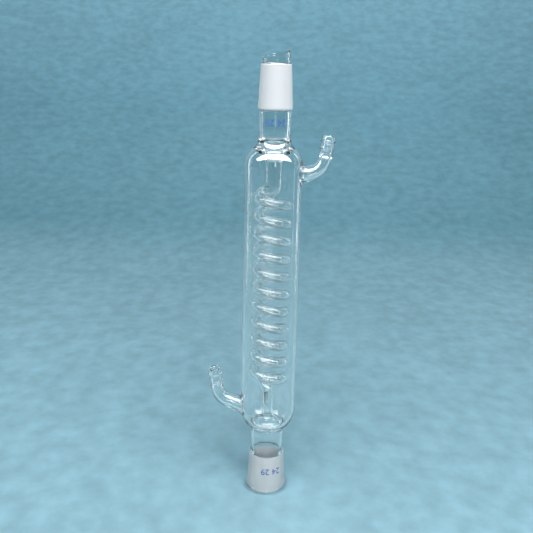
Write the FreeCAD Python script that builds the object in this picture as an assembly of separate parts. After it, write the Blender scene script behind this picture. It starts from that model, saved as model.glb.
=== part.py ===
# Graham condenser with 24/29 ground joints, one fused piece of borosilicate glass.
# Millimetres. +Z up along the axis. The origin is the centre of the rim that it stands on.
# It stands on its socket, with the ground cone and the drip tip at the top.
import FreeCAD
import Part

import math
import os

from FreeCAD import Vector

os.makedirs("parts", exist_ok=True)

DOWN = Vector(0, 0, -1)

# standard taper joint 24/29: large end, length, and 1 in 10 on the diameter
JOINT_LARGE_D = 24.0
JOINT_LENGTH = 29.0
JOINT_TAPER = 0.1
JOINT_SMALL_D = JOINT_LARGE_D - JOINT_TAPER * JOINT_LENGTH
CONE_CHAMFER = 1.2
MOUTH_CHAMFER = 0.7

# tubes: outside radius and wall
JACKET_R = 20.25
JACKET_WALL = 2.0
NECK_R = 11.15
NECK_WALL = 2.05
TIP_R = 9.75
TIP_WALL = 1.5
SOCKET_TUBE_R = 12.6
SOCKET_TUBE_WALL = 1.9
SOCKET_WALL = 2.6
BEAD_R = 16.85
BEAD_HEIGHT = 5.9
BEAD_FOOT = 1.6

# lengths along the axis, from the rim upwards
SOCKET_TOP = 7.0
SOCKET_TUBE_LENGTH = 8.0
SHOULDER_LENGTH = 23.0
JACKET_LENGTH = 185.0
UPPER_SHOULDER_LENGTH = 17.5
NECK_LENGTH = 19.3
TIP_LENGTH = 8.8

SOCKET_TOP_Z = JOINT_LENGTH + SOCKET_TOP
SHOULDER_START_Z = SOCKET_TOP_Z + SOCKET_TUBE_LENGTH
LOWER_SHOULDER_Z = SHOULDER_START_Z + SHOULDER_LENGTH
UPPER_SHOULDER_Z = LOWER_SHOULDER_Z + JACKET_LENGTH
NECK_Z = UPPER_SHOULDER_Z + UPPER_SHOULDER_LENGTH
CONE_Z = NECK_Z + NECK_LENGTH + CONE_CHAMFER
CONE_TOP_Z = CONE_Z + JOINT_LENGTH
HEIGHT = CONE_TOP_Z + CONE_CHAMFER + TIP_LENGTH

# ring seals: where the inner tube is fused to the ends of the jacket
LOWER_SEAL_Z = LOWER_SHOULDER_Z - 13.0
LOWER_SEAL_GROOVE = 2.6
LOWER_SEAL_RISE = 9.5
UPPER_SEAL_Z = UPPER_SHOULDER_Z + 5.0
UPPER_SEAL_GROOVE = 4.9
UPPER_SEAL_LIP = 4.3
SEAL_WALL = 2.4

# oblique cut of the drip tip: rise per millimetre towards +X and towards +Y
TIP_RISE_X = 0.27
TIP_RISE_Y = 0.09
TIP_EDGE_ROUND = 0.45

# inner tube and coil
COIL_R = 10.7
COIL_PITCH = 13.07
COIL_TUBE_R = 3.75
INNER_WALL = 1.2
UPPER_TUBE_R = 6.0
LOWER_TUBE_R = 4.2
UPPER_TUBE_LENGTH = 14.0
UPPER_BEND_DROP = 14.0
LOWER_BEND_DROP = 10.5
LOWER_TUBE_LEAST = 12.0
COIL_POINTS_PER_TURN = 12

UPPER_BEND_Z = UPPER_SEAL_Z - UPPER_TUBE_LENGTH
COIL_START_Z = UPPER_BEND_Z - UPPER_BEND_DROP
COIL_ROOM = COIL_START_Z - LOWER_BEND_DROP - LOWER_TUBE_LEAST - LOWER_SEAL_Z - LOWER_SEAL_RISE

# whole turns from the -X side, and three quarters more so that the coil leaves at the back
LAST_PART_TURN = 0.75
COIL_TURNS = math.floor(COIL_ROOM / COIL_PITCH - LAST_PART_TURN) + LAST_PART_TURN
LOWER_BEND_Z = COIL_START_Z - COIL_PITCH * COIL_TURNS - LOWER_BEND_DROP

# how far each bend runs on in the direction of its ends before it turns
UPPER_BEND_PULL = 22.0
LOWER_BEND_PULL = 16.0
COIL_PULL = 25.0
BEND_RINGS = 8
UPPER_EASED_BY = 0.8
LOWER_EASED_BY = 0.7

# hose connections: tube radius at the jacket and at the barb, barb ridges, bore
HOSE_ROOT_R = 6.6
HOSE_BODY_R = 5.4
HOSE_END_R = 4.2
HOSE_BORE_ROOT_R = 4.4
HOSE_BEND_R = 12.5
HOSE_FLARE = 3.6
HOSE_BEND_RINGS = 6
BARB_R = 5.2
BARB_NECK_R = 4.4
BARB_BORE_R = 3.0
BARB_COUNT = 3
BARB_PITCH = 5.3
BARB_LEAN = 8.0

# each connection: side, height where it leaves the jacket, slope there, straight run before the bend
UPPER_HOSE = {"side": 1, "root_z": UPPER_SHOULDER_Z - 6.7, "slope": 4.0, "run": 5.0}
LOWER_HOSE = {"side": -1, "root_z": LOWER_SHOULDER_Z + 1.6, "slope": 19.0, "run": 11.4}

# shapes of curved outlines, as parts of the way across and along between two ends
SHOULDER = [(0.03, 0.16), (0.16, 0.34), (0.38, 0.50), (0.66, 0.635), (0.88, 0.79)]
ROUNDING = [(0.06, 0.31), (0.28, 0.59), (0.64, 0.84)]
FUNNEL = [(0.10, 0.24), (0.42, 0.47), (0.80, 0.70)]
DOME = [(0.04, 0.24), (0.17, 0.45), (0.43, 0.61), (0.74, 0.73), (0.93, 0.85)]
NARROWING = [(0.13, 0.24), (0.65, 0.62)]

# how far a cutting shape runs past the surface it opens
OVERRUN = 2.0
SEAM_TOLERANCE = 0.002


def outline(start, steps):
    """A chain of edges in the XZ plane. A step is one point for a line, or a list for a curve."""
    edges = []
    here = Vector(start[0], 0, start[1])
    for step in steps:
        if isinstance(step, list):
            points = [here] + [Vector(r, 0, z) for r, z in step]
            curve = Part.BSplineCurve()
            curve.interpolate(points)
            edges.append(curve.toShape())
            here = points[-1]
        else:
            there = Vector(step[0], 0, step[1])
            edges.append(Part.makeLine(here, there))
            here = there
    return edges


def turned(start, steps):
    """The solid of revolution of an outline that starts and ends on the axis."""
    edges = outline(start, steps)
    first = edges[0].Vertexes[0].Point
    last = edges[-1].lastVertex().Point
    if (first - last).Length > 1e-6:
        edges.append(Part.makeLine(last, first))
    face = Part.Face(Part.Wire(edges))
    return face.revolve(Vector(0, 0, 0), Vector(0, 0, 1), 360)


def between(start, end, shape):
    """The points of a curve of the given shape after start, up to end."""
    across, rise = end[0] - start[0], end[1] - start[1]
    return [(start[0] + across * a, start[1] + rise * b) for a, b in shape] + [end]


def backwards(start, end, shape):
    """The same curve drawn from its other end."""
    turned_shape = [(1 - a, 1 - b) for a, b in reversed(shape)]
    return between(start, end, turned_shape)


def ground_bore_r(z):
    """The radius of the ground socket at a height, from its large end inside the mouth."""
    return (JOINT_LARGE_D - JOINT_TAPER * (z - MOUTH_CHAMFER)) / 2


def outside():
    """Everything inside the outer skin: rim bead, socket, jacket, neck, cone and drip tip."""
    wall_points = []
    for share in (0.30, 0.47, 0.64, 0.86, 1.0):
        z = JOINT_LENGTH * share
        wall_points.append((ground_bore_r(z) + SOCKET_WALL + 0.15 * share, z))
    shoulder_foot = (SOCKET_TUBE_R, SHOULDER_START_Z)
    shoulder_top = (JACKET_R, LOWER_SHOULDER_Z)
    neck_foot = (NECK_R, NECK_Z)
    return turned(
        (0, 0),
        [
            (BEAD_R - BEAD_FOOT, 0),
            [
                (BEAD_R - 0.35, 0.13 * BEAD_HEIGHT),
                (BEAD_R, 0.37 * BEAD_HEIGHT),
                (BEAD_R - 0.5, 0.70 * BEAD_HEIGHT),
                (BEAD_R - 1.6, BEAD_HEIGHT),
                *wall_points,
                (SOCKET_TUBE_R + 0.45, SOCKET_TOP_Z - 3.0),
                (SOCKET_TUBE_R, SOCKET_TOP_Z),
            ],
            shoulder_foot,
            backwards(shoulder_foot, shoulder_top, SHOULDER),
            (JACKET_R, UPPER_SHOULDER_Z),
            between((JACKET_R, UPPER_SHOULDER_Z), neck_foot, SHOULDER),
            (NECK_R, CONE_Z - CONE_CHAMFER),
            (JOINT_LARGE_D / 2, CONE_Z),
            (JOINT_SMALL_D / 2, CONE_TOP_Z),
            (TIP_R, CONE_TOP_Z + CONE_CHAMFER),
            (TIP_R, HEIGHT + OVERRUN),
            (0, HEIGHT + OVERRUN),
        ],
    )


def coolant_room():
    """The room inside the jacket, filled across the axis, before the inner tube is set in it."""
    inner = JACKET_R - JACKET_WALL
    foot = (LOWER_TUBE_R - 0.3, LOWER_SEAL_Z + LOWER_SEAL_RISE)
    bore = SOCKET_TUBE_R - SOCKET_TUBE_WALL
    groove_r = bore + LOWER_SEAL_GROOVE
    groove = (groove_r, LOWER_SEAL_Z)
    knuckle = (groove_r - 1.2, LOWER_SEAL_Z + 1.1)
    lower_wall = (inner, LOWER_SHOULDER_Z + 0.5)
    upper_wall = (inner, UPPER_SHOULDER_Z - 0.5)
    lip_r = NECK_R - NECK_WALL + UPPER_SEAL_LIP
    lip = (lip_r, UPPER_SEAL_Z + UPPER_SEAL_LIP)
    head = (UPPER_TUBE_R - 0.3, UPPER_SEAL_Z - 3.8)
    return turned(
        (0, foot[1]),
        [
            foot,
            [
                (foot[0] + 0.8, foot[1] - 1.5),
                (foot[0] + 2.3, foot[1] - 2.8),
                (foot[0] + 4.7, foot[1] - 4.2),
                (knuckle[0] - 1.3, knuckle[1] + 2.3),
                knuckle,
                groove,
                (groove_r + 1.3, LOWER_SEAL_Z + 0.9),
                *backwards((groove_r + 1.3, LOWER_SEAL_Z + 0.9), lower_wall, ROUNDING),
            ],
            upper_wall,
            [
                *between(upper_wall, (lip_r + 0.3, lip[1]), ROUNDING),
                (lip_r - 0.4, lip[1]),
                (lip_r - 0.8, lip[1] - 1.2),
                (lip_r - 1.7, UPPER_SEAL_Z + 1.3),
                (lip_r - 3.8, UPPER_SEAL_Z),
                (UPPER_TUBE_R + 1.4, UPPER_SEAL_Z - 0.5),
                (UPPER_TUBE_R + 0.3, UPPER_SEAL_Z - 1.7),
                head,
            ],
            (0, head[1]),
        ],
    )


def socket_bore():
    """The female taper, the clear tube above it and the hollow under the domed lower seal."""
    tube = SOCKET_TUBE_R - SOCKET_TUBE_WALL
    bore = LOWER_TUBE_R - INNER_WALL
    mouth = JOINT_LARGE_D / 2 + MOUTH_CHAMFER
    dome_start = (tube, LOWER_SEAL_Z - 8.0)
    dome_end = (bore, LOWER_SEAL_Z + LOWER_SEAL_RISE - 1.0)
    return turned(
        (0, -OVERRUN),
        [
            (mouth, -OVERRUN),
            (mouth, 0),
            (JOINT_LARGE_D / 2, MOUTH_CHAMFER),
            (JOINT_SMALL_D / 2, JOINT_LENGTH + MOUTH_CHAMFER),
            (tube, SOCKET_TOP_Z - 4.0),
            dome_start,
            between(dome_start, dome_end, DOME),
            (bore, dome_end[1] + 3.5),
            (0, dome_end[1] + 3.5),
        ],
    )


def neck_bore():
    """The funnel under the neck, the neck's bore and the way out of the drip tip."""
    bore = UPPER_TUBE_R - INNER_WALL
    neck = NECK_R - NECK_WALL
    tip = TIP_R - TIP_WALL
    funnel_foot = (bore, UPPER_SEAL_Z - 0.4)
    funnel_top = (neck, NECK_Z - 1.0)
    return turned(
        (0, UPPER_SEAL_Z - 5.0),
        [
            (bore, UPPER_SEAL_Z - 5.0),
            funnel_foot,
            between(funnel_foot, funnel_top, FUNNEL),
            (neck, CONE_Z - 4.0),
            between((neck, CONE_Z - 4.0), (tip, CONE_Z + 4.5), NARROWING),
            (tip, HEIGHT + 2 * OVERRUN),
            (0, HEIGHT + 2 * OVERRUN),
        ],
    )


def coil_point(turn):
    """A point of the left-handed coil's centre line, counted in turns from the top on the -X side."""
    angle = 2 * math.pi * turn
    return Vector(-COIL_R * math.cos(angle), -COIL_R * math.sin(angle), COIL_START_Z - COIL_PITCH * turn)


def bend(start, start_pull, end, end_pull):
    """A smooth centre line between two points that leaves and arrives in the given directions."""
    curve = Part.BezierCurve()
    curve.setPoles([start, start + start_pull / 3, end - end_pull / 3, end])
    return curve


def disc_wire(radius, centre, direction):
    return Part.Wire([Part.makeCircle(radius, centre, direction)])


def tube_along(curve, radii):
    """A round rod along a curve, its radius running evenly through the list of radii."""
    count = len(radii) - 1
    first, last = curve.FirstParameter, curve.LastParameter
    rings = []
    for index, radius in enumerate(radii):
        t = first + (last - first) * index / count
        rings.append(disc_wire(radius, curve.value(t), Vector(*curve.tangent(t)[0])))
    return Part.makeLoft(rings, True, False)


def eased(start, end, count, hold):
    """Radii that change smoothly from start to end, done by the fraction hold of the way."""
    radii = []
    for index in range(count + 1):
        t = min(1.0, index / count / hold)
        radii.append(start + (end - start) * t * t * (3 - 2 * t))
    return radii


def sewn(pieces, ends):
    """One solid from rods that meet end to end: side faces sewn at the shared rings, and two end discs."""
    sides = [face for piece in pieces for face in piece.Faces if not isinstance(face.Surface, Part.Plane)]
    shell = Part.Compound(sides + ends)
    shell.sewShape(SEAM_TOLERANCE)
    solid = Part.Solid(shell.Shells[0] if shell.Shells else shell)
    if solid.Volume < 0:
        solid.reverse()
    return solid


def inner_tube(shrink):
    """The straight tubes and the coil as one rod: shrink is 0 for its outside, the wall for its bore."""
    upper, coil, lower = UPPER_TUBE_R - shrink, COIL_TUBE_R - shrink, LOWER_TUBE_R - shrink
    top = Vector(0, 0, UPPER_SEAL_Z + 0.5)
    bottom = Vector(0, 0, LOWER_SEAL_Z + LOWER_SEAL_RISE - SEAL_WALL - 0.6)
    upper_end = Vector(0, 0, UPPER_BEND_Z)
    lower_end = Vector(0, 0, LOWER_BEND_Z)

    steps = int(COIL_POINTS_PER_TURN * COIL_TURNS)
    line = Part.BSplineCurve()
    line.interpolate([coil_point(COIL_TURNS * i / steps) for i in range(steps + 1)])
    start_direction = Vector(*line.tangent(line.FirstParameter)[0])
    end_direction = Vector(*line.tangent(line.LastParameter)[0])
    ring = disc_wire(coil, coil_point(0), start_direction)
    helix = Part.Wire([line.toShape()]).makePipeShell([ring], True, False)

    into_coil = bend(upper_end, DOWN * UPPER_BEND_PULL, coil_point(0), start_direction * COIL_PULL)
    out_of_coil = bend(coil_point(COIL_TURNS), end_direction * COIL_PULL, lower_end, DOWN * LOWER_BEND_PULL)
    pieces = [
        Part.makeCylinder(upper, top.z - UPPER_BEND_Z, upper_end),
        tube_along(into_coil, eased(upper, coil, BEND_RINGS, UPPER_EASED_BY)),
        helix,
        tube_along(out_of_coil, eased(coil, lower, BEND_RINGS, LOWER_EASED_BY)),
        Part.makeCylinder(lower, LOWER_BEND_Z - bottom.z, bottom),
    ]
    ends = [Part.Face(disc_wire(upper, top, DOWN)), Part.Face(disc_wire(lower, bottom, DOWN))]
    return sewn(pieces, ends)


def hose_line(hose):
    """The straight root, the bend and the barb's start and direction, in the XZ plane."""
    slope, steep = math.radians(hose["slope"]), math.radians(90 - BARB_LEAN)
    side = hose["side"]
    root = Vector(side * (JACKET_R - JACKET_WALL / 2), 0, hose["root_z"])
    knee = root + Vector(side * hose["run"] * math.cos(slope), 0, hose["run"] * math.sin(slope))
    middle = (slope + steep) / 2

    def on_bend(angle):
        across = HOSE_BEND_R * (math.sin(angle) - math.sin(slope))
        rise = HOSE_BEND_R * (math.cos(slope) - math.cos(angle))
        return knee + Vector(side * across, 0, rise)

    barb = on_bend(steep)
    barb_direction = Vector(side * math.cos(steep), 0, math.sin(steep))
    arc = Part.Arc(knee, on_bend(middle), barb)
    root_direction = Vector(side * math.cos(slope), 0, math.sin(slope))
    return root, root_direction, knee, arc, barb, barb_direction


def hose_tube(hose, radii):
    """A root, a straight run and the bend as one rod, up to the barb.

    The four radii are at the root, after the flare, at the knee and at the barb.
    """
    root, root_direction, knee, arc, _, _ = hose_line(hose)
    at_root, after_flare, at_knee, at_barb = radii
    straight = (knee - root).Length
    rings = [
        disc_wire(at_root, root - root_direction * 2.0, root_direction),
        disc_wire((at_root + after_flare) / 2, root + root_direction * HOSE_FLARE / 3, root_direction),
        disc_wire(after_flare, root + root_direction * HOSE_FLARE, root_direction),
    ]
    if straight > 2 * HOSE_FLARE:
        middle = root + root_direction * (straight + HOSE_FLARE) / 2
        rings.append(disc_wire((after_flare + at_knee) / 2, middle, root_direction))
    for index in range(HOSE_BEND_RINGS + 1):
        part_way = index / HOSE_BEND_RINGS
        t = arc.FirstParameter + (arc.LastParameter - arc.FirstParameter) * part_way
        radius = at_knee + (at_barb - at_knee) * part_way
        rings.append(disc_wire(radius, arc.value(t), Vector(*arc.tangent(t)[0])))
    return Part.makeLoft(rings, True, False)


def hose_outside(hose):
    return hose_tube(hose, (HOSE_ROOT_R, HOSE_BODY_R, HOSE_BODY_R - 0.1, HOSE_END_R))


def hose_bore(hose):
    return hose_tube(hose, (HOSE_BORE_ROOT_R, HOSE_BORE_ROOT_R - 0.6, HOSE_BORE_ROOT_R - 0.7, BARB_BORE_R))


def barb_length():
    return BARB_COUNT * BARB_PITCH


def along(solid, point, direction):
    """Moves a solid that was made round +Z at the origin to a point, pointing in a direction."""
    solid.Placement = FreeCAD.Placement(point, FreeCAD.Rotation(Vector(0, 0, 1), direction))
    return solid


def barb(hose):
    """The ridged end that a hose is pushed over, each ridge widest towards the jacket."""
    _, _, _, _, point, direction = hose_line(hose)
    steps = [(HOSE_END_R, -0.5), (HOSE_END_R, 0)]
    for index in range(BARB_COUNT):
        low = index * BARB_PITCH
        neck = BARB_NECK_R
        steps.append([
            (BARB_R - 0.35, low + 0.25),
            (BARB_R, low + 0.9),
            (BARB_R - 0.3, low + 1.9),
            (neck, low + BARB_PITCH - 0.5),
        ])
        if index < BARB_COUNT - 1:
            steps.append((neck, low + BARB_PITCH))
    end = barb_length()
    steps.append([(BARB_NECK_R - 0.25, end - 0.1), (BARB_NECK_R - 0.7, end)])
    steps.append((0, end))
    return along(turned((0, -0.5), steps), point, direction)


def barb_bore(hose):
    _, _, _, _, point, direction = hose_line(hose)
    back = direction * 0.5
    return Part.makeCylinder(BARB_BORE_R, barb_length() + OVERRUN, point - back, direction)


def above_the_cut():
    """A block over the slanting end of the drip tip, its lower face the cut."""
    middle_z = HEIGHT - TIP_R * math.hypot(TIP_RISE_X, TIP_RISE_Y)
    normal = Vector(-TIP_RISE_X, -TIP_RISE_Y, 1).normalize()
    block = Part.makeBox(60, 60, 40, Vector(-30, -30, 0))
    return along(block, Vector(0, 0, middle_z), normal)


def rounded_tip(glass):
    """Fire-polishes the edges of the slanting cut."""
    normal = Vector(-TIP_RISE_X, -TIP_RISE_Y, 1).normalize()
    for face in glass.Faces:
        flat = isinstance(face.Surface, Part.Plane)
        if flat and abs(face.normalAt(0, 0).dot(normal)) > 0.9999:
            return glass.makeFillet(TIP_EDGE_ROUND, face.Edges)
    return glass


def condenser():
    skin = outside().fuse([
        hose_outside(UPPER_HOSE),
        hose_outside(LOWER_HOSE),
        barb(UPPER_HOSE),
        barb(LOWER_HOSE),
    ])
    skin = skin.cut(above_the_cut())
    water = coolant_room().fuse([
        hose_bore(UPPER_HOSE),
        hose_bore(LOWER_HOSE),
        barb_bore(UPPER_HOSE),
        barb_bore(LOWER_HOSE),
    ])
    walls = skin.cut(water).fuse(inner_tube(0))
    vapour = inner_tube(INNER_WALL).fuse([socket_bore(), neck_bore()])
    return rounded_tip(walls.cut(vapour))


if __name__ == "__main__":
    solid = condenser()
    print("solids", len(solid.Solids), "faces", len(solid.Faces), "valid", solid.isValid())
    print("volume cm3", round(solid.Volume / 1000, 2), "bounds", solid.BoundBox)
    solid.Solids[0].exportStep("parts/condenser.step")
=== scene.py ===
import math

import bmesh
import bpy
from mathutils import Matrix, Vector, geometry


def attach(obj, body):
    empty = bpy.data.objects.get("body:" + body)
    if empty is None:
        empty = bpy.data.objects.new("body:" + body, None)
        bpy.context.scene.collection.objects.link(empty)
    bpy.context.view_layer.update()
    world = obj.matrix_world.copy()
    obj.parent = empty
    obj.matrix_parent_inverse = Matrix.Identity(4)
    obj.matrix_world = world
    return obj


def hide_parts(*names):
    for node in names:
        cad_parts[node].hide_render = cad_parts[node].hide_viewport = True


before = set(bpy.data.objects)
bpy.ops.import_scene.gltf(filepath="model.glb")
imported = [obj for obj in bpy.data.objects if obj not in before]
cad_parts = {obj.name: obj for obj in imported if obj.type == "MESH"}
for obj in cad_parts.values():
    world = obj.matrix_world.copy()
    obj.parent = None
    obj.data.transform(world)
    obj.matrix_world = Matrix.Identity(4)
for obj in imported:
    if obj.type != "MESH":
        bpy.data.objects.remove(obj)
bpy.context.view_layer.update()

# %% [markdown]
# The condenser is blown and fused from tube, so it is one body of glass with no joints inside. What
# light meets is only the boundary between glass and air: the outer skin with the vapour path in it,
# and the wall of the coolant room with the coil's outside. Walls round the axis are spun from outlines.
# Tubes are pulled as chains of rings, because a ring that is extruded, sized and turned again and again
# is how a tube is drawn. Lengths are in millimetres while the shape is made, and the finished mesh is
# brought to metres.

# %% Rings
UP = Vector((0, 0, 1))
AROUND = 96
TUBE_AROUND = 32
NEAR = 0.01


def verts_in(items):
    """The vertices in what an operator returns."""
    return [item for item in items if isinstance(item, bmesh.types.BMVert)]


def edges_in(items):
    """The edges in what an operator returns."""
    return [item for item in items if isinstance(item, bmesh.types.BMEdge)]


def in_order(items):
    """Each item once, in the order given."""
    return dict.fromkeys(items)


def ring_of(verts, edges, centre, direction, radius):
    """What the next pull needs to know of a ring."""
    return {
        "verts": verts,
        "edges": edges,
        "centre": Vector(centre),
        "direction": direction,
        "radius": radius,
    }


def start_ring(bm, centre, direction, radius, segments):
    """A first ring of edges round a point, square to a direction."""
    turn = UP.rotation_difference(direction).to_matrix().to_4x4()
    place = Matrix.Translation(centre) @ turn
    made = bmesh.ops.create_circle(bm, cap_ends=False, segments=segments, radius=radius, matrix=place)
    verts = made["verts"]
    edges = list(in_order(edge for vert in verts for edge in vert.link_edges))
    return ring_of(verts, edges, centre, direction, radius)


def extruded(bm, edges):
    """The new vertices and edges of a ring that is extruded in place."""
    grown = bmesh.ops.extrude_edge_only(bm, edges=edges)["geom"]
    verts = verts_in(grown)
    fresh = set(verts)
    return verts, [line for line in edges_in(grown) if line.verts[0] in fresh and line.verts[1] in fresh]


def pull(bm, ring, centre, direction, radius):
    """Extrudes a ring and brings the new one to its place, turn and size."""
    verts, edges = extruded(bm, ring["edges"])
    turn = ring["direction"].rotation_difference(direction).to_matrix().to_4x4()
    size = Matrix.Scale(radius / ring["radius"], 4)
    place = Matrix.Translation(centre) @ turn @ size @ Matrix.Translation(-ring["centre"])
    bmesh.ops.transform(bm, matrix=place, verts=verts)
    return ring_of(verts, edges, centre, direction, radius)


def edges_of(bm, ring):
    """The open edges of a ring, found by their place."""
    on_ring = set()
    for vert in bm.verts:
        arm = vert.co - ring["centre"]
        if abs(arm.dot(ring["direction"])) < NEAR and abs(arm.length - ring["radius"]) < NEAR:
            on_ring.add(vert)
    return [e for e in bm.edges if e.is_boundary and e.verts[0] in on_ring and e.verts[1] in on_ring]


def join(bm, one, other):
    """Bridges two rings, which may have different numbers of edges."""
    bmesh.ops.bridge_loops(bm, edges=edges_of(bm, one) + edges_of(bm, other))


# %% [markdown]
# The turned walls follow outlines of radius and height, read from the photo where it shows them. A
# glass-blower's tool leaves curves that run into straight tube without an edge, so an outline is a list
# of steps: one point for a straight stretch, a list of points for a curve through them.

# %% Outlines
CURVE_STEPS = 4
LONGEST_ROW = 12.0


def curve_through(points):
    """Points on a smooth curve through the given ones, the first left out."""
    path = []
    for i in range(len(points) - 1):
        before = points[max(i - 1, 0)]
        here, there = points[i], points[i + 1]
        after = points[min(i + 2, len(points) - 1)]
        leave = (there - before) / 6
        arrive = (after - here) / 6
        if i == 0:
            leave = (there - here) / 3
        if i == len(points) - 2:
            arrive = (there - here) / 3
        span = geometry.interpolate_bezier(here, here + leave, there - arrive, there, CURVE_STEPS + 1)
        path += [Vector(point) for point in span[1:]]
    return path


def outline(start, steps):
    """The rows of a turned wall as (radius, height) vectors."""
    rows = [Vector(start)]
    for step in steps:
        if isinstance(step, list):
            rows += curve_through([rows[-1]] + [Vector(point) for point in step])
        else:
            there = Vector(step)
            count = max(1, math.ceil((there - rows[-1]).length / LONGEST_ROW))
            here = rows[-1]
            rows += [here.lerp(there, (i + 1) / count) for i in range(count)]
    return rows


def between(start, end, shape):
    """A curve of the given shape from start to end, as parts of the way across and along."""
    across, rise = end[0] - start[0], end[1] - start[1]
    return [(start[0] + across * a, start[1] + rise * b) for a, b in shape] + [end]


def backwards(start, end, shape):
    """The same curve drawn from its other end."""
    return between(start, end, [(1 - a, 1 - b) for a, b in reversed(shape)])


def radius_at(rows, z):
    """The radius of a wall at a height, along rows that climb."""
    for low, high in zip(rows, rows[1:]):
        if low.y <= z <= high.y:
            return low.x + (high.x - low.x) * (z - low.y) / max(high.y - low.y, 1e-9)
    return rows[-1].x


def with_close_rows(rows, low, high, spacing):
    """The same wall, with rows at even spacing between two heights."""
    count = round((high - low) / spacing)
    close = [Vector((radius_at(rows, low + i * spacing), low + i * spacing)) for i in range(count + 1)]
    below = [row for row in rows if row.y < low - spacing / 3]
    above = [row for row in rows if row.y > high + spacing / 3]
    return below + close + above


# %% [markdown]
# The outside runs from the rolled rim of the socket up over both shoulders of the jacket to the drip tip.
# The neck's bore comes down inside it to the funnel, and the dome over the socket goes down to the rim
# again. The shoulders, the funnel and the dome are each one curve, given as parts of the way across and
# along, so that the lower and the upper shoulder can use the same one.

# %% Walls of the skin
SHOULDER = [(0.03, 0.16), (0.16, 0.34), (0.38, 0.50), (0.66, 0.635), (0.88, 0.79)]
ROUNDING = [(0.06, 0.31), (0.28, 0.59), (0.64, 0.84)]
FUNNEL = [(0.10, 0.24), (0.42, 0.47), (0.80, 0.70)]
DOME = [(0.03, 0.28), (0.13, 0.47), (0.38, 0.61), (0.70, 0.72), (0.92, 0.84)]
JACKET_R = 20.25
JACKET_INNER_R = 18.25
CLEAR_TUBE_R = 11.8
NECK_R = 11.15
NECK_BORE_R = 9.1
TIP_R = 9.75
TIP_BORE_R = 8.25
UPPER_TUBE_R = 6.0
LOWER_TUBE_R = 4.2
INNER_WALL = 1.2
TIP_Z = 326.18

skin_rows = outline(
    (15.25, 0.0),
    [
        [
            *[(16.5, 0.77), (16.85, 2.18), (16.35, 4.13), (15.25, 5.9)],
            *[(14.25, 8.7), (14.02, 13.6), (13.8, 18.6)],
        ],
        [
            *[(13.55, 24.9), (13.4, 29.0), (13.3, 30.6), (13.0, 31.6), (12.3, 32.8), (11.9, 33.7)],
            (CLEAR_TUBE_R, 34.8),
        ],
        (CLEAR_TUBE_R, 45.0),
        backwards((CLEAR_TUBE_R, 45.0), (JACKET_R, 67.0), SHOULDER),
        (JACKET_R, 252.0),
        between((JACKET_R, 252.0), (NECK_R, 269.5), SHOULDER),
        (NECK_R, 271.0),
        (NECK_R, 288.2),
        [(11.2, 288.75), (11.9, 289.8), (12.0, 290.1)],
        (11.95, 290.8),
        (10.6, 318.4),
        [(10.55, 318.95), (9.85, 320.0), (TIP_R, 320.4)],
        (TIP_R, 321.2),
        (TIP_R, TIP_Z - 0.5),
        [(9.68, TIP_Z - 0.2), (9.55, TIP_Z - 0.06), (9.3, TIP_Z)],
    ],
)
bore_rows = outline(
    (8.7, TIP_Z),
    [
        [(8.45, TIP_Z - 0.06), (8.31, TIP_Z - 0.2), (TIP_BORE_R, TIP_Z - 0.5)],
        (TIP_BORE_R, 321.0),
        (TIP_BORE_R, 296.0),
        [(8.27, 294.5), (8.55, 291.5), (9.0, 288.0), (NECK_BORE_R, 286.0)],
        (NECK_BORE_R, 269.5),
        backwards((NECK_BORE_R, 269.5), (UPPER_TUBE_R - INNER_WALL, 256.6), FUNNEL),
        (UPPER_TUBE_R - INNER_WALL, 255.4),
    ],
)
mouth_rows = outline(
    (LOWER_TUBE_R - INNER_WALL, 61.6),
    [
        (LOWER_TUBE_R - INNER_WALL, 60.9),
        backwards((LOWER_TUBE_R - INNER_WALL, 60.9), (10.0, 50.7), DOME),
        (10.0, 49.5),
        (10.0, 33.6),
        [(10.08, 32.6), (10.4, 30.6), (10.55, 29.7)],
        (10.6, 28.7),
        (11.97, 1.3),
        [(12.03, 0.7), (12.6, 0.1), (12.9, 0.0)],
    ],
)
print("rows of the skin:", len(skin_rows), "of the bores:", len(bore_rows) + len(mouth_rows))

# %% [markdown]
# The inner tube hangs from the neck's funnel, turns in a tight elbow into the narrower tube of the coil,
# winds ten and three quarter turns left-handed and swings back to the axis over the socket. The elbow
# is a fan of rings about its inner side, which keeps the wide tube wide down to the turn. The centre
# line is the same for the outside and for the bore, so one function pulls both.

# %% The inner tube
COIL_TUBE_R = 3.75
COIL_R = 10.7
COIL_PITCH = 13.07
COIL_TURNS = 10.75
COIL_START_Z = 229.0
LOWER_BEND_Z = 78.0
STEPS_PER_TURN = 36
BEND_STEPS = 14
ELBOW_Z = 236.2
ELBOW_HEADING = Vector((-math.cos(math.radians(37)), math.sin(math.radians(37)), 0))
ELBOW_INNER_R = 0.4
ELBOW_END_R = 4.3
ELBOW_STEPS = 12
COIL_JOIN = 0.03
SWING = 11.8
LOWER_SWING = 25
LOWER_DROP = 16
UPPER_EASE, LOWER_EASE = 0.5, 0.7


def coil_point(turn):
    """A point of the coil's centre line, counted in turns from the top on the -X side."""
    angle = 2 * math.pi * turn
    return Vector((-COIL_R * math.cos(angle), -COIL_R * math.sin(angle), COIL_START_Z - COIL_PITCH * turn))


def coil_direction(turn):
    """The way the centre line runs there, down the coil."""
    angle = 2 * math.pi * turn
    fall = -COIL_PITCH / (2 * math.pi)
    return Vector((COIL_R * math.sin(angle), -COIL_R * math.cos(angle), fall)).normalized()


def eased(start, end, way, done_by):
    """A size that changes smoothly from start to end, done by a part of the way."""
    t = min(1.0, way / done_by)
    return start + (end - start) * t * t * (3 - 2 * t)


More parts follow.
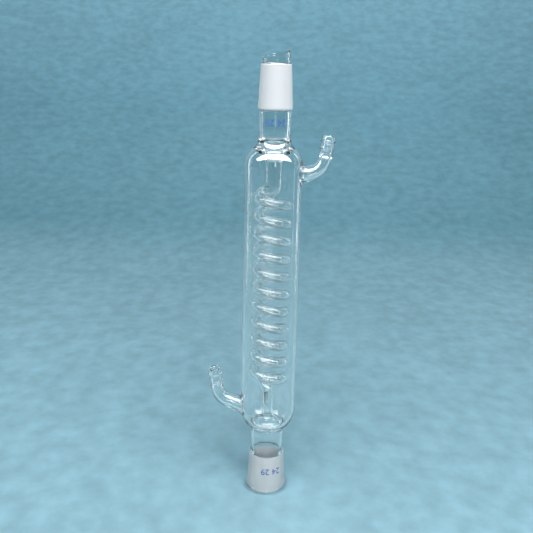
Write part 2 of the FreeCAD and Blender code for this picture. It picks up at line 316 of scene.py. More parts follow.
def pull_bend(bm, ring, start, start_pull, end, end_pull, radii, done_by):
    """Pulls a ring along a bend that leaves and arrives in the given directions."""
    leave, arrive = start + start_pull / 3, end - end_pull / 3
    line = geometry.interpolate_bezier(start, leave, arrive, end, BEND_STEPS + 1)
    for i in range(1, BEND_STEPS + 1):
        ahead = line[min(i + 1, BEND_STEPS)] - line[i - 1]
        if i == BEND_STEPS:
            ahead = end_pull
        ring = pull(bm, ring, line[i], ahead.normalized(), eased(*radii, i / BEND_STEPS, done_by))
    return ring


def pull_elbow(bm, ring, shrink):
    """Swings a ring from down to the heading about the inner side of the wide tube."""
    pivot = Vector((0, 0, ELBOW_Z)) + ELBOW_HEADING * (UPPER_TUBE_R + ELBOW_INNER_R)
    for i in range(1, ELBOW_STEPS + 1):
        angle = math.pi / 2 * i / ELBOW_STEPS
        radius = eased(UPPER_TUBE_R, ELBOW_END_R, i / ELBOW_STEPS, 1.0)
        arm = -UP * math.sin(angle) - ELBOW_HEADING * math.cos(angle)
        direction = -UP * math.cos(angle) + ELBOW_HEADING * math.sin(angle)
        ring = pull(bm, ring, pivot + arm * (radius + ELBOW_INNER_R), direction, radius - shrink)
    return ring


def pull_inner_tube(bm, top_z, bottom_z, shrink):
    """The straight tubes, the bends and the coil in one pull. Returns its first and last ring."""
    coil, lower = COIL_TUBE_R - shrink, LOWER_TUBE_R - shrink
    first = start_ring(bm, Vector((0, 0, top_z)), -UP, UPPER_TUBE_R - shrink, TUBE_AROUND)
    ring = pull(bm, first, Vector((0, 0, ELBOW_Z)), -UP, UPPER_TUBE_R - shrink)
    ring = pull_elbow(bm, ring, shrink)
    begin, into = coil_point(COIL_JOIN), coil_direction(COIL_JOIN) * SWING
    radii = (ELBOW_END_R - shrink, coil)
    ring = pull_bend(bm, ring, ring["centre"], ELBOW_HEADING * SWING, begin, into, radii, UPPER_EASE)
    turns = COIL_TURNS - COIL_JOIN
    steps = round(turns * STEPS_PER_TURN)
    wound = bmesh.ops.spin(
        bm,
        geom=ring["verts"] + ring["edges"],
        cent=(0, 0, 0),
        axis=UP,
        dvec=(0, 0, -COIL_PITCH * turns / steps),
        angle=2 * math.pi * turns,
        steps=steps,
        use_merge=False,
    )["geom_last"]
    out = coil_direction(COIL_TURNS)
    ring = ring_of(verts_in(wound), edges_in(wound), coil_point(COIL_TURNS), out, coil)
    low = Vector((0, 0, LOWER_BEND_Z))
    radii = (coil, lower)
    ring = pull_bend(bm, ring, ring["centre"], out * LOWER_SWING, low, -UP * LOWER_DROP, radii, LOWER_EASE)
    last = pull(bm, ring, Vector((0, 0, bottom_z)), -UP, lower)
    return first, last


# %% [markdown]
# The two hose connections are side tubes, fused on to the jacket with a small flare and drawn up into
# a ridged end. Each wall of the jacket gets a round opening: the faces there come out, and the grid
# round them is eased to a circle that stays on the wall. The side tube is then pulled from that edge.

# %% Openings in the jacket
HOLE_CELLS = 6
HOLE_REACH = 1.6
WALL_SLACK = 0.6


def cell_width(wall_r):
    """The row height near an opening, so that its cells are as high as they are wide."""
    return wall_r * math.sin(HOLE_CELLS * 2 * math.pi / AROUND) / HOLE_CELLS


def near_wall(vert, rows, side):
    """True for a vertex of this wall on this side."""
    if vert.co.x * side <= 0:
        return False
    return abs(math.hypot(vert.co.x, vert.co.y) - radius_at(rows, vert.co.z)) < WALL_SLACK


def open_wall(bm, rows, wall_r, side, z, radius):
    """Cuts a round opening into a wall and returns the edges round it."""
    half = HOLE_CELLS * cell_width(wall_r)
    reach = half * HOLE_REACH
    close = [v for v in bm.verts if abs(v.co.z - z) < reach and abs(v.co.y) < reach]
    here = [v for v in close if near_wall(v, rows, side)]
    edge = half + NEAR
    inside = in_order(v for v in here if abs(v.co.y) < edge and abs(v.co.z - z) < edge)
    touching = in_order(face for v in inside for face in v.link_faces)
    faces = [face for face in touching if all(corner in inside for corner in face.verts)]
    bmesh.ops.delete(bm, geom=faces, context="FACES")
    here = [v for v in here if v.is_valid]
    for vert in here:
        across, up = vert.co.y, vert.co.z - z
        square, circle = max(abs(across), abs(up)), math.hypot(across, up)
        part = min(1.0, max(0.0, (square - half) / (reach - half)))
        keep = part * part * (3 - 2 * part)
        grow = (square * radius / half / circle) * (1 - keep) + keep
        y, height = across * grow, z + up * grow
        x = math.sqrt(radius_at(rows, height) ** 2 - y * y)
        vert.co = (side * x, y, height)
    near = in_order(here)
    lines = [e for v in near for e in v.link_edges if e.verts[0] == v and e.verts[1] in near]
    return [e for e in lines if e.is_boundary]


# %% [markdown]
# On the real piece a side tube is melted on to the jacket, drawn out, bent up and pressed into ridges that
# hold a hose. Its first ring keeps the angles of the opening, the next ones follow the flare and the bend,
# and the ridges are rings of other sizes on a straight line. The bore runs on the same centre line, so
# that the wall is even.

# %% Side tubes
HOSE_BEND_R = 12.5
HOSE_BEND_STEPS = 12
BARB_LEAN = 8.0
BARB_PITCH = 5.3
BARB_COUNT = 3
RIDGE = [
    *[(4.62, 0.1), (4.95, 0.3), (5.14, 0.6), (5.19, 1.0), (5.13, 1.5)],
    *[(4.98, 2.2), (4.74, 3.2), (4.5, 4.2), (4.4, 4.95)],
]
UPPER_HOSE = {"side": 1, "root_z": 245.3, "slope": 4.0, "run": 5.0}
LOWER_HOSE = {"side": -1, "root_z": 68.6, "slope": 19.0, "run": 11.4}
ROOT_R = 19.25


def heading(side, degrees):
    """The way that climbs at this angle on this side."""
    angle = math.radians(degrees)
    return Vector((side * math.cos(angle), 0, math.sin(angle)))


def collar(bm, edges, side, centre, degrees, radius, z):
    """The first ring off the wall: each vertex keeps its angle round the opening."""
    verts, lines = extruded(bm, edges)
    direction = heading(side, degrees)
    upright = Vector((-side * direction.z, 0, side * direction.x))
    for vert in verts:
        angle = math.atan2(vert.co.z - z, vert.co.y)
        vert.co = centre + Vector((0, math.cos(angle), 0)) * radius + upright * math.sin(angle) * radius
    return ring_of(verts, lines, centre, direction, radius)


def pull_side_tube(bm, edges, hose, z, root_rings, bend_radii, barb_rings):
    """The flare, the straight root, the bend and the ridged end of one wall of a side tube."""
    side, slope = hose["side"], hose["slope"]
    root = Vector((side * ROOT_R, 0, hose["root_z"]))
    axis = heading(side, slope)
    ring = None
    for length, radius, share in root_rings:
        centre = root + axis * length
        if ring is None:
            ring = collar(bm, edges, side, centre, slope * share, radius, z)
        else:
            ring = pull(bm, ring, centre, heading(side, slope * share), radius)
    knee = root + axis * hose["run"]
    ring = pull(bm, ring, knee, axis, bend_radii[0])
    middle = knee + heading(side, slope + 90) * HOSE_BEND_R
    steep = 90 - BARB_LEAN
    for i in range(1, HOSE_BEND_STEPS + 1):
        degrees = slope + (steep - slope) * i / HOSE_BEND_STEPS
        centre = middle + heading(side, degrees - 90) * HOSE_BEND_R
        radius = bend_radii[0] + (bend_radii[1] - bend_radii[0]) * i / HOSE_BEND_STEPS
        ring = pull(bm, ring, centre, heading(side, degrees), radius)
    foot, direction = ring["centre"], ring["direction"]
    for radius, length in barb_rings:
        ring = pull(bm, ring, foot + direction * length, direction, radius)
    return ring


def barb_outline():
    """The ridges, each widest towards the jacket, and the rounded end."""
    rings = [(4.2, 0.05)]
    for index in range(BARB_COUNT):
        low = index * BARB_PITCH
        rings += [(radius, low + length) for radius, length in RIDGE]
    end = BARB_COUNT * BARB_PITCH
    return rings[:-1] + [(4.35, end - 0.6), (4.25, end - 0.25), (4.05, end - 0.07), (3.75, end)]


def barb_bore():
    """The bore through the ridges, rounded at its mouth."""
    end = BARB_COUNT * BARB_PITCH
    return [(2.6, 1.0), (2.6, end - 0.5), (2.65, end - 0.3), (2.8, end - 0.15), (3.0, end - 0.08)]


# %% [markdown]
# The coolant room is the space between the jacket and the coil. Its wall starts at the lower ring seal,
# where the glass has sunk into a groove, climbs inside the jacket and rolls over into the lip of the upper
# ring seal. Where a side tube leaves, both walls of the jacket get closer rows, with cells as high as they
# are wide, because a round opening needs even cells round it.

# %% Walls of the coolant room
GROOVE = (14.2, 56.1)
ROW_REACH = 10


def height_in_wall(hose, wall_r):
    """Where the centre line of a side tube goes through a wall."""
    climb = (wall_r - ROOT_R) * math.tan(math.radians(hose["slope"]))
    return hose["root_z"] + round(climb, 2)


def with_rows_at(rows, wall_r, z):
    """The same wall with even cells round a height."""
    step = cell_width(wall_r)
    return with_close_rows(rows, z - ROW_REACH * step, z + ROW_REACH * step, step)


HOLES = [
    (hose, height_in_wall(hose, JACKET_R), height_in_wall(hose, JACKET_INNER_R))
    for hose in (UPPER_HOSE, LOWER_HOSE)
]
seal_rows = outline(
    (LOWER_TUBE_R, 62.4),
    [
        [(4.25, 61.5), (4.7, 60.5), (6.0, 59.5), (8.5, 58.6), (10.7, 57.2), (11.7, 56.2), (12.9, 55.2)],
        [(13.6, 55.4), GROOVE],
    ],
)
upper_room = outline(
    (JACKET_INNER_R, 251.5),
    [
        between((JACKET_INNER_R, 251.5), (13.7, 261.3), ROUNDING),
        [
            *[(13.35, 261.55), (13.0, 261.3), (12.6, 260.1), (11.7, 258.3)],
            *[(9.6, 257.0), (7.4, 256.5), (6.4, 255.3)],
        ],
        [(6.05, 253.8), (UPPER_TUBE_R, 252.4)],
    ],
)
turn_row = max(range(len(upper_room)), key=lambda i: upper_room[i].y)
climbing = outline(GROOVE, [backwards(GROOVE, (JACKET_INNER_R, 67.5), ROUNDING), (JACKET_INNER_R, 251.5)])
climbing += upper_room[1 : turn_row + 1]
for _, outer_z, inner_z in HOLES:
    skin_rows = with_rows_at(skin_rows, JACKET_R, outer_z)
    climbing = with_rows_at(climbing, JACKET_INNER_R, inner_z)
room_rows = seal_rows[:-1] + climbing + upper_room[turn_row + 1 :]
print("rows of the room:", len(room_rows), "of the skin with even cells:", len(skin_rows))

# %% [markdown]
# The turned walls are spun, their openings are cut, and the side tubes are pulled out of them. The skin is
# one chain of rows: from the dome over the socket down the ground bore, round the rim, up the outside to
# the drip tip, and down inside to the funnel.

# %% Turned walls and side tubes
OPENING_R = 8.3
FLARE = [
    *[(1.2, 7.6, 0.0), (1.5, 7.15, 0.1), (2.0, 6.75, 0.3)],
    *[(2.7, 6.42, 0.55), (3.5, 6.22, 0.8), (4.2, 6.1, 1.0)],
]
LONG_ROOT = [(6.4, 6.0, 1.0), (8.6, 5.9, 1.0)]
HOSE_BEND_RADII = (5.8, 4.2)
BORE_OPENING_R = 5.0
BORE_FLARE = [(-0.6, 4.6, 0.0), (0.2, 4.3, 0.0), (1.3, 3.9, 0.2), (2.6, 3.5, 0.6), (4.0, 3.15, 1.0)]
BORE_BEND_RADII = (3.0, 2.6)


def turned_wall(bm, rows):
    """A wall spun from its outline. Returns its first and last ring."""
    verts = [bm.verts.new((row.x, 0, row.y)) for row in rows]
    edges = [bm.edges.new(pair) for pair in zip(verts, verts[1:])]
    bmesh.ops.spin(
        bm, geom=verts + edges, cent=(0, 0, 0), axis=UP, angle=2 * math.pi, steps=AROUND, use_merge=True
    )
    return [ring_of([], [], (0, 0, row.y), UP, row.x) for row in (rows[0], rows[-1])]


def added(whole, part):
    """Adds a finished part to the whole."""
    mesh = bpy.data.meshes.new("part")
    part.to_mesh(mesh)
    part.free()
    whole.from_mesh(mesh)
    bpy.data.meshes.remove(mesh)


whole = bmesh.new()
mouths = {}

# the skin with the outsides of the side tubes
part = bmesh.new()
dome_end, upper_funnel = turned_wall(part, mouth_rows + skin_rows + bore_rows)
for hose, outer_z, _ in HOLES:
    edges = open_wall(part, skin_rows, JACKET_R, hose["side"], outer_z, OPENING_R)
    flare = FLARE + LONG_ROOT if hose is LOWER_HOSE else FLARE
    mouth = pull_side_tube(part, edges, hose, outer_z, flare, HOSE_BEND_RADII, barb_outline())
    mouths[hose["side"]] = [mouth]
added(whole, part)

# the coolant room's wall with the bores of the side tubes
part = bmesh.new()
room_bottom, room_top = turned_wall(part, room_rows)
for hose, _, inner_z in HOLES:
    edges = open_wall(part, climbing, JACKET_INNER_R, hose["side"], inner_z, BORE_OPENING_R)
    mouth = pull_side_tube(part, edges, hose, inner_z, BORE_FLARE, BORE_BEND_RADII, barb_bore())
    mouths[hose["side"]].append(mouth)
added(whole, part)
print("faces of the turned walls and side tubes:", len(whole.faces))

# %% [markdown]
# The inner tube is pulled twice, for its outside and for its bore. Its bore joins the funnel to the dome,
# its outside closes the coolant room, and the two bores of the hose connections meet the skin at their
# mouths. Six bridges make the whole boundary one closed surface. The drip tip is cut on the slant, so
# the last rows of the tip are sheared, which keeps the rounded edge.

# %% The glass body
TIP_SLANT = (0.27, 0.09)
TIP_CUT = 1.5

part = bmesh.new()
tube_top, tube_bottom = pull_inner_tube(part, top_z=251.6, bottom_z=63.4, shrink=0)
added(whole, part)
part = bmesh.new()
bore_top, bore_bottom = pull_inner_tube(part, top_z=254.4, bottom_z=62.6, shrink=INNER_WALL)
added(whole, part)

for one, other in [
    (upper_funnel, bore_top),
    (dome_end, bore_bottom),
    (room_top, tube_top),
    (room_bottom, tube_bottom),
    mouths[1],
    mouths[-1],
]:
    join(whole, one, other)

slant = Matrix.Identity(4)
slant[2][0], slant[2][1] = TIP_SLANT
bmesh.ops.transform(whole, matrix=slant, verts=[v for v in whole.verts if v.co.z > TIP_Z - TIP_CUT])
bmesh.ops.recalc_face_normals(whole, faces=whole.faces)
open_edges = [edge for edge in whole.edges if not edge.is_contiguous]
print("faces:", len(whole.faces), "open edges:", len(open_edges))
print("volume cm3:", round(whole.calc_volume() / 1000, 2))

# %% [markdown]
# The finish decides which faces are ground. The cone's outside and the socket's bore are ground matt so
# that they seal against another joint, and everything else is fire polished. The faces are picked by
# where they lie. The parts of the mesh are numbered by place, so that each run stores the same one, and
# it is then brought from millimetres to metres.

# %% Finishes on the body
CLEAR, GROUND_CONE, GROUND_SOCKET = 0, 1, 2
CONE_LOW, CONE_HIGH, CONE_INSIDE_R = 288.9, 320.1, 10.2
BORE_LOW, BORE_HIGH, BORE_OUTSIDE_R = 0.9, 29.6, 12.2
MM = 0.001


def finish_at(place):
    """The finish of a face by where its middle lies."""
    reach = math.hypot(place.x, place.y)
    if CONE_LOW < place.z < CONE_HIGH and reach > CONE_INSIDE_R:
        return GROUND_CONE
    if BORE_LOW < place.z < BORE_HIGH and reach < BORE_OUTSIDE_R:
        return GROUND_SOCKET
    return CLEAR


def number_by(elements, key):
    """Numbers and stores the parts of a mesh in an order that doesn't change from run to run."""
    for i, element in enumerate(sorted(elements, key=key)):
        element.index = i
    elements.sort()


for face in whole.faces:
    face.smooth = True
    face.material_index = finish_at(face.calc_center_median())
number_by(whole.verts, lambda vert: tuple(vert.co))
number_by(whole.edges, lambda edge: sorted(vert.index for vert in edge.verts))
number_by(whole.faces, lambda face: sorted(vert.index for vert in face.verts))
bmesh.ops.scale(whole, vec=(MM, MM, MM), verts=whole.verts)
glass_mesh = bpy.data.meshes.new("condenser_glass")
whole.to_mesh(glass_mesh)
whole.free()
glass = bpy.data.objects.new("condenser_glass", glass_mesh)
bpy.context.scene.collection.objects.link(glass)
print("triangles:", sum(len(polygon.vertices) - 2 for polygon in glass_mesh.polygons))
print("ground faces:", sum(polygon.material_index != CLEAR for polygon in glass_mesh.polygons))

# %% [markdown]
# Blown glass has faint waves, ground glass has pits and enamel has a grain. All three are the same thing to
# the renderer: a noise that tilts the surface a little. It is a node group, built once and placed in each
# material with its own values, on object coordinates so that it stays on the glass.

# %% Uneven surface


def new_material(name):
    """A material with its nodes, links and shader."""
    material = bpy.data.materials.new(name)
    material.use_nodes = True
    nodes = material.node_tree.nodes
    return material, nodes, material.node_tree.links, nodes["Principled BSDF"]


uneven = bpy.data.node_groups.new("uneven_surface", "ShaderNodeTree")
for socket in ("Scale", "Detail", "Strength", "Distance"):
    uneven.interface.new_socket(socket, in_out="INPUT", socket_type="NodeSocketFloat")
uneven.interface.new_socket("Stretch", in_out="INPUT", socket_type="NodeSocketVector")
uneven.interface.new_socket("Grain", in_out="OUTPUT", socket_type="NodeSocketFloat")
uneven.interface.new_socket("Normal", in_out="OUTPUT", socket_type="NodeSocketVector")
taken, given = uneven.nodes.new("NodeGroupInput"), uneven.nodes.new("NodeGroupOutput")
coordinates = uneven.nodes.new("ShaderNodeTexCoord")
squeeze = uneven.nodes.new("ShaderNodeMapping")
noise = uneven.nodes.new("ShaderNodeTexNoise")
bump = uneven.nodes.new("ShaderNodeBump")
for output, place in [
    (coordinates.outputs["Object"], squeeze.inputs["Vector"]),
    (taken.outputs["Stretch"], squeeze.inputs["Scale"]),
    (squeeze.outputs["Vector"], noise.inputs["Vector"]),
    (taken.outputs["Scale"], noise.inputs["Scale"]),
    (taken.outputs["Detail"], noise.inputs["Detail"]),
    (noise.outputs["Fac"], bump.inputs["Height"]),
    (taken.outputs["Strength"], bump.inputs["Strength"]),
    (taken.outputs["Distance"], bump.inputs["Distance"]),
    (noise.outputs["Fac"], given.inputs["Grain"]),
    (bump.outputs["Normal"], given.inputs["Normal"]),
]:
    uneven.links.new(output, place)


def make_uneven(nodes, links, shader, scale, detail, strength, distance, stretch=(1, 1, 1)):
    """Places the group before a shader's normal and returns it."""
    node = nodes.new("ShaderNodeGroup")
    node.node_tree = uneven
    node.inputs["Scale"].default_value = scale
    node.inputs["Detail"].default_value = detail
    node.inputs["Strength"].default_value = strength
    node.inputs["Distance"].default_value = distance
    node.inputs["Stretch"].default_value = stretch
    links.new(node.outputs["Normal"], shader.inputs["Normal"])
    return node


# %% [markdown]
# Blown borosilicate glass is nearly colourless, with faint waves where it was worked in the flame. The
# waves are weak and wide. The colour, roughness and refraction are plain values, because the whole piece
# is one material, and its edges draw themselves by refraction.

# %% Clear glass
GLASS_IOR = 1.47

clear, nodes, links, shader = new_material("clear_glass")
shader.inputs["Base Color"].default_value = (0.985, 0.995, 0.993, 1)
shader.inputs["Roughness"].default_value = 0.0
shader.inputs["IOR"].default_value = GLASS_IOR
shader.inputs["Transmission Weight"].default_value = 1.0
make_uneven(nodes, links, shader, scale=40, detail=1, strength=0.25, distance=0.00001)
glass_mesh.materials.append(clear)

# %% [markdown]
# Ground glass scatters light at a skin of tiny pits, so the cone looks white from outside. It is a
# rough dielectric whose grain is a fine noise; the grinding marks run round the taper, so the noise is
# squeezed along the axis. Its colour is painted paler near the outline as the camera sees it: a painted
# rim light on the sides, which the lamps in front leave dim.

# %% Ground glass
GRINDING = (0.6, 0.6, 1.6)
# the colour of the painted rim light at the outline
RIM_LIGHT_WHITEST = 0.98
PATCHINESS = 0.06


def between_levels(nodes, links, value, from_range, to_range):
    """A value brought from one range to another."""
    node = nodes.new("ShaderNodeMapRange")
    node.inputs["From Min"].default_value, node.inputs["From Max"].default_value = from_range
    node.inputs["To Min"].default_value, node.inputs["To Max"].default_value = to_range
    links.new(value, node.inputs["Value"])
    return node.outputs["Result"]


def ground_glass(name, colour, transmission, roughness):
    """Frosted glass with a painted rim light that makes it paler near its outline, and patchy in its
    roughness.
    """
    material, nodes, links, shader = new_material(name)
    shader.inputs["IOR"].default_value = GLASS_IOR
    shader.inputs["Transmission Weight"].default_value = transmission
    # painted rim light: the colour is raised towards the outline, where the lamps leave the sides dim
    edge = nodes.new("ShaderNodeLayerWeight")
    painted_rim_light = between_levels(nodes, links, edge.outputs["Facing"], (0.2, 1.0), (1.0, RIM_LIGHT_WHITEST / colour[0]))
    rim_lit_colour = nodes.new("ShaderNodeVectorMath")
    rim_lit_colour.operation = "SCALE"
    rim_lit_colour.inputs[0].default_value = colour
    links.new(painted_rim_light, rim_lit_colour.inputs["Scale"])
    links.new(rim_lit_colour.outputs["Vector"], shader.inputs["Base Color"])
    pits = {"scale": 1400, "detail": 4, "strength": 0.5, "distance": 0.00005}
    make_uneven(nodes, links, shader, **pits, stretch=GRINDING)
    coordinates = nodes.new("ShaderNodeTexCoord")
    squeeze = nodes.new("ShaderNodeMapping")
    squeeze.inputs["Scale"].default_value = GRINDING
    links.new(coordinates.outputs["Object"], squeeze.inputs["Vector"])
    patches = nodes.new("ShaderNodeTexNoise")
    patches.inputs["Scale"].default_value = 160
    patches.inputs["Detail"].default_value = 3
    links.new(squeeze.outputs["Vector"], patches.inputs["Vector"])
    levels = (roughness - PATCHINESS, roughness + PATCHINESS)
    spread = between_levels(nodes, links, patches.outputs["Fac"], (0.0, 1.0), levels)
    links.new(spread, shader.inputs["Roughness"])
    return material


ground_cone = ground_glass("ground_cone", (0.72, 0.71, 0.715), transmission=0.1, roughness=0.5)
# the socket's ground glass is painted lighter than the cone's: painted light for what its clear outer wall
# keeps from its bore
ground_socket = ground_glass("ground_socket", (0.97, 0.975, 0.98), transmission=0.1, roughness=0.4)
for ground in (ground_cone, ground_socket):
    glass_mesh.materials.append(ground)

# %% [markdown]
# Each joint carries a small size mark in blue enamel, which is fired on and so lies a hair proud of the
# glass. Plain digits are drawn flat, turned upside down as they stand here, and wrapped round the tube.

# %% Size marks
MARK = "24 29"
MARK_LIFT = 0.03
DIGIT_HEIGHT = 0.7


def wrapped_mark(name, height, width, middle_z, wall_r, shift):
    """The digits on a tube of this radius, facing -Y, as wide as given and shifted to the right."""
    text = bpy.data.curves.new(name, "FONT")
    text.body = MARK
    text.size = height / DIGIT_HEIGHT
    text.align_x = "CENTER"
    text.align_y = "CENTER"
    text.resolution_u = 6
    flat = bpy.data.objects.new(name, text)
    bpy.context.scene.collection.objects.link(flat)
    bpy.context.view_layer.update()
    mesh = bpy.data.meshes.new_from_object(flat.evaluated_get(bpy.context.evaluated_depsgraph_get()))
    bpy.data.objects.remove(flat)
    bm = bmesh.new()
    bm.from_mesh(mesh)
    bmesh.ops.triangulate(bm, faces=bm.faces)
    stretch = width / (max(vert.co.x for vert in bm.verts) - min(vert.co.x for vert in bm.verts))
    for vert in bm.verts:
        across, up = shift - vert.co.x * stretch, middle_z - vert.co.y
        radius = wall_r(up) + MARK_LIFT
        angle = across / radius - math.pi / 2
        vert.co = (radius * math.cos(angle), radius * math.sin(angle), up)
    bmesh.ops.scale(bm, vec=(MM, MM, MM), verts=bm.verts)
    for face in bm.faces:
        middle = face.calc_center_median()
        if face.normal.x * middle.x + face.normal.y * middle.y < 0:
            face.normal_flip()
    bm.to_mesh(mesh)
    bm.free()
    mark = bpy.data.objects.new(name, mesh)
    bpy.context.scene.collection.objects.link(mark)
    return mark


enamel, nodes, links, shader = new_material("blue_enamel")
shader.inputs["Roughness"].default_value = 0.4
grain = make_uneven(nodes, links, shader, scale=900, detail=2, strength=0.2, distance=0.00002)
worn = nodes.new("ShaderNodeValToRGB")
worn.color_ramp.elements[0].position = 0.3
worn.color_ramp.elements[0].color = (0.03, 0.10, 0.42, 1)
worn.color_ramp.elements[1].position = 0.75
worn.color_ramp.elements[1].color = (0.07, 0.20, 0.60, 1)
links.new(grain.outputs["Grain"], worn.inputs["Fac"])
links.new(worn.outputs["Color"], shader.inputs["Base Color"])

neck_mark = wrapped_mark(
    "neck_mark", height=4.6, width=14.4, middle_z=281.0, wall_r=lambda z: NECK_R, shift=0.6
)
socket_mark = wrapped_mark(
    "socket_mark", height=4.8, width=15.0, middle_z=19.5, wall_r=lambda z: radius_at(skin_rows, z), shift=3.6
)
for mark in (neck_mark, socket_mark):
    mark.data.materials.append(enamel)
    print(mark.name, "faces:", len(mark.data.polygons))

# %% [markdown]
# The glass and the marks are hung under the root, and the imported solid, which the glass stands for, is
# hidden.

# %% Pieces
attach(glass, "root")
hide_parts("condenser")
for mark in (neck_mark, socket_mark):
    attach(mark, "root")

# %% [markdown]
# The stage is one sheet of blue-green paper that sweeps up into a backdrop, as a photographer hangs it. A
# line of a few points is drawn from the side and extruded across, and a subdivision rounds the fold.

# %% Floor and backdrop
SWEEP = [
    *[(-1.6, 0), (0.45, 0), (0.62, 0.012), (0.78, 0.06)],
    *[(0.9, 0.16), (0.97, 0.32), (1.0, 0.6), (1.0, 2.2)],
]
SHEET_WIDTH = 4.8

bm = bmesh.new()
line = [bm.verts.new((-SHEET_WIDTH / 2, y, z)) for y, z in SWEEP]
edges = [bm.edges.new(pair) for pair in zip(line, line[1:])]
grown = bmesh.ops.extrude_edge_only(bm, edges=edges)["geom"]
bmesh.ops.translate(bm, vec=(SHEET_WIDTH, 0, 0), verts=verts_in(grown))
bmesh.ops.recalc_face_normals(bm, faces=bm.faces)
for face in bm.faces:
    face.smooth = True
    if face.normal.z < -0.1 or face.normal.y > 0.1:
        face.normal_flip()
floor_mesh = bpy.data.meshes.new("floor")
bm.to_mesh(floor_mesh)
bm.free()
floor = bpy.data.objects.new("floor", floor_mesh)
bpy.context.scene.collection.objects.link(floor)
bend = floor.modifiers.new("bend", "SUBSURF")
bend.levels = 3
bend.render_levels = 3
print("sheet, metres:", SHEET_WIDTH, "wide, rises to", SWEEP[-1][1])

# %% [markdown]
# The paper is one colour, and the light and shade on it are painted into that colour: pale on the table
# and where it begins to rise, darker behind, and paler again at the top, as in the photo. So its colour
# follows the place along the sheet, which is about the sum of Y and Z. A slow noise gives it the mottle
# and a fine one the wrinkles. Both are drawn out from front to back, because the camera sees the table at a
# slant.

# %% Paper
# painted light and shade along the one sheet: paler in front and at the top, darker behind
SHADE_FROM, SHADE_TO = 0.2, 1.5
PAINTED_SHADE_TONES = [
    (0.22, (0.31, 0.52, 0.60, 1)),
    (0.34, (0.28, 0.49, 0.565, 1)),
    (0.47, (0.18, 0.385, 0.465, 1)),
    (0.74, (0.18, 0.385, 0.475, 1)),
]


def calculated(nodes, links, operation, one, other):
    """The result of a sum or a test on two sockets, or on a socket and a plain number."""
    node = nodes.new("ShaderNodeMath")
    node.operation = operation
    for place, value in enumerate((one, other)):
        if isinstance(value, float):
            node.inputs[place].default_value = value
        else:
            links.new(value, node.inputs[place])
    return node.outputs["Value"]


def paper_grain(nodes, links, coordinates, scale, stretch, detail, levels):
    """A noise on the paper, squeezed as given, as a factor between two levels."""
    place = nodes.new("ShaderNodeMapping")
    place.inputs["Scale"].default_value = stretch
    grain = nodes.new("ShaderNodeTexNoise")
    grain.inputs["Scale"].default_value = scale
    grain.inputs["Detail"].default_value = detail
    links.new(coordinates.outputs["Object"], place.inputs["Vector"])
    links.new(place.outputs["Vector"], grain.inputs["Vector"])
    return between_levels(nodes, links, grain.outputs["Fac"], (0.3, 0.7), levels)


paper, nodes, links, shader = new_material("paper")
shader.inputs["Roughness"].default_value = 0.75
coordinates = nodes.new("ShaderNodeTexCoord")
parts = nodes.new("ShaderNodeSeparateXYZ")
links.new(coordinates.outputs["Object"], parts.inputs["Vector"])
along = calculated(nodes, links, "ADD", parts.outputs["Y"], parts.outputs["Z"])
shaded_paper_colours = nodes.new("ShaderNodeValToRGB")
# the ends of the painted light and shade: lit on the table, lit again at the top
shaded_paper_colours.color_ramp.elements[0].color = (0.30, 0.515, 0.60, 1)
shaded_paper_colours.color_ramp.elements[1].color = (0.28, 0.52, 0.63, 1)
for share, colour in PAINTED_SHADE_TONES:
    shaded_paper_colours.color_ramp.elements.new(share).color = colour
links.new(between_levels(nodes, links, along, (SHADE_FROM, SHADE_TO), (0.0, 1.0)), shaded_paper_colours.inputs["Fac"])
clouds = paper_grain(nodes, links, coordinates, 4.0, (0.8, 0.4, 1), 2, (0.94, 1.07))
fibres = paper_grain(nodes, links, coordinates, 120, (0.5, 0.4, 1), 4, (0.88, 1.12))
blend = nodes.new("ShaderNodeVectorMath")
blend.operation = "SCALE"
links.new(shaded_paper_colours.outputs["Color"], blend.inputs[0])
links.new(calculated(nodes, links, "MULTIPLY", clouds, fibres), blend.inputs["Scale"])
links.new(blend.outputs["Vector"], shader.inputs["Base Color"])
floor_mesh.materials.append(paper)

# %% [markdown]
# One soft panel and a pale room light the paper and the ground glass. Clear glass shows no light but
# what it mirrors, so a photographer stands bright cards round it: a wide one overhead for the white bands
# along the coil, narrow ones at the sides for the lines along the jacket. The cards here shine only on
# rays that were mirrored in glass and not yet scattered, so they leave the level on the paper alone.

# %% Light


def soft_panel(name, place, target, width, height, radiance):
    """A soft rectangle of light, not mirrored in anything."""
    light = bpy.data.lights.new(name, "AREA")
    light.shape = "RECTANGLE"
    light.size = width
    light.size_y = height
    light.energy = radiance * math.pi * width * height
    panel = bpy.data.objects.new(name, light)
    panel.location = place
    panel.rotation_euler = (Vector(target) - Vector(place)).to_track_quat("-Z", "Y").to_euler()
    panel.visible_camera = False
    panel.visible_glossy = False
    bpy.context.scene.collection.objects.link(panel)
    return panel


def card(name, place, target, width, height, radiance):
    """A bright oval that shows only in what mirrors it. It covers pi / 4 of its rectangle."""
    panel = soft_panel(name, place, target, width, height, radiance * math.pi / 4)
    panel.visible_diffuse = False
    panel.visible_glossy = True
    panel.data.shape = "ELLIPSE"
    panel.data.use_nodes = True
    nodes, links = panel.data.node_tree.nodes, panel.data.node_tree.links
    path = nodes.new("ShaderNodeLightPath")
    mirrored = calculated(nodes, links, "GREATER_THAN", path.outputs["Glossy Depth"], 0.5)
    unscattered = calculated(nodes, links, "LESS_THAN", path.outputs["Diffuse Depth"], 0.5)
    shown = calculated(nodes, links, "MULTIPLY", mirrored, unscattered)
    links.new(shown, nodes["Emission"].inputs["Strength"])


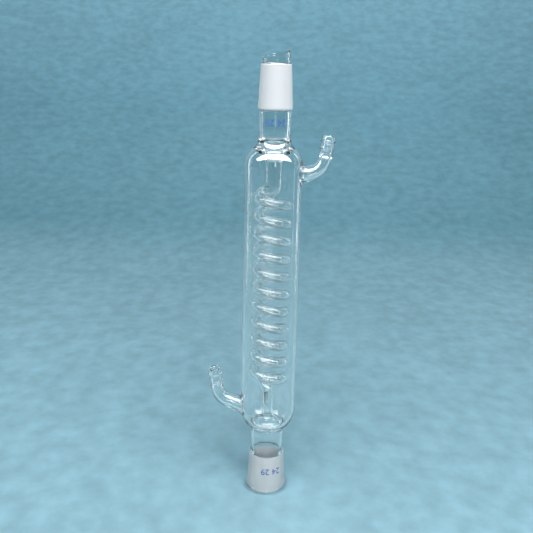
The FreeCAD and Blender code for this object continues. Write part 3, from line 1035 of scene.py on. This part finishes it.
soft_panel("key", (0.1, -0.75, 1.0), (0, 0, 0.15), width=1.3, height=1.0, radiance=4.3)
card("card_over", (0.0, -0.5, 1.1), (0, 0, 0.15), width=4.6, height=0.6, radiance=32.0)
card("card_left", (-0.38, 0.2, 0.4), (0, 0, 0.4), width=0.016, height=0.75, radiance=12.0)
card("card_right", (0.36, 0.25, 0.4), (0, 0, 0.4), width=0.016, height=0.75, radiance=12.0)
card("card_front", (0.12, -1.4, 0.5), (0, 0, 0.3), width=0.10, height=0.7, radiance=12.0)

# %% [markdown]
# The room round the sheet is pale for what it lights and for the camera, and nearly dark for rays that
# have only passed through clear glass or been mirrored by it. That is what draws dark edges on glass.

# %% Room
ROOM_LEVEL = 0.42
ROOM_LEVEL_IN_GLASS = 0.03

world = bpy.data.worlds.new("world")
world.use_nodes = True
nodes, links = world.node_tree.nodes, world.node_tree.links
background = nodes["Background"]
background.inputs["Color"].default_value = (0.80, 0.87, 0.92, 1)
path = nodes.new("ShaderNodeLightPath")
plain = calculated(nodes, links, "MAXIMUM", path.outputs["Is Camera Ray"], path.outputs["Diffuse Depth"])
level = between_levels(nodes, links, plain, (0.0, 1.0), (ROOM_LEVEL_IN_GLASS, ROOM_LEVEL))
links.new(level, background.inputs["Strength"])
bpy.context.scene.world = world

# %% [markdown]
# The camera stands where the photo was taken from: in front, about level with the drip tip, looking down
# by fifteen degrees. It is rolled by 1.4 degrees, because the tube leans in the picture.

# %% Camera
SENSOR = 36
LENS_IN_PIXELS = 778
PHOTO_PIXELS = 533
LOOKS_DOWN = 14.99
ROLL = 1.41

camera_data = bpy.data.cameras.new("camera")
camera_data.sensor_width = SENSOR
camera_data.lens = LENS_IN_PIXELS / PHOTO_PIXELS * SENSOR
camera = bpy.data.objects.new("camera", camera_data)
camera.location = (-0.0034, -0.544, 0.323)
camera.rotation_euler = (math.radians(90 - LOOKS_DOWN), 0, 0)
camera.rotation_euler.rotate_axis("Z", math.radians(ROLL))
bpy.context.scene.collection.objects.link(camera)
bpy.context.scene.camera = camera
bpy.context.scene.view_settings.view_transform = "Standard"

# %% [markdown]
# Last, the view layer is brought up to date.

# %% Update
bpy.context.view_layer.update()
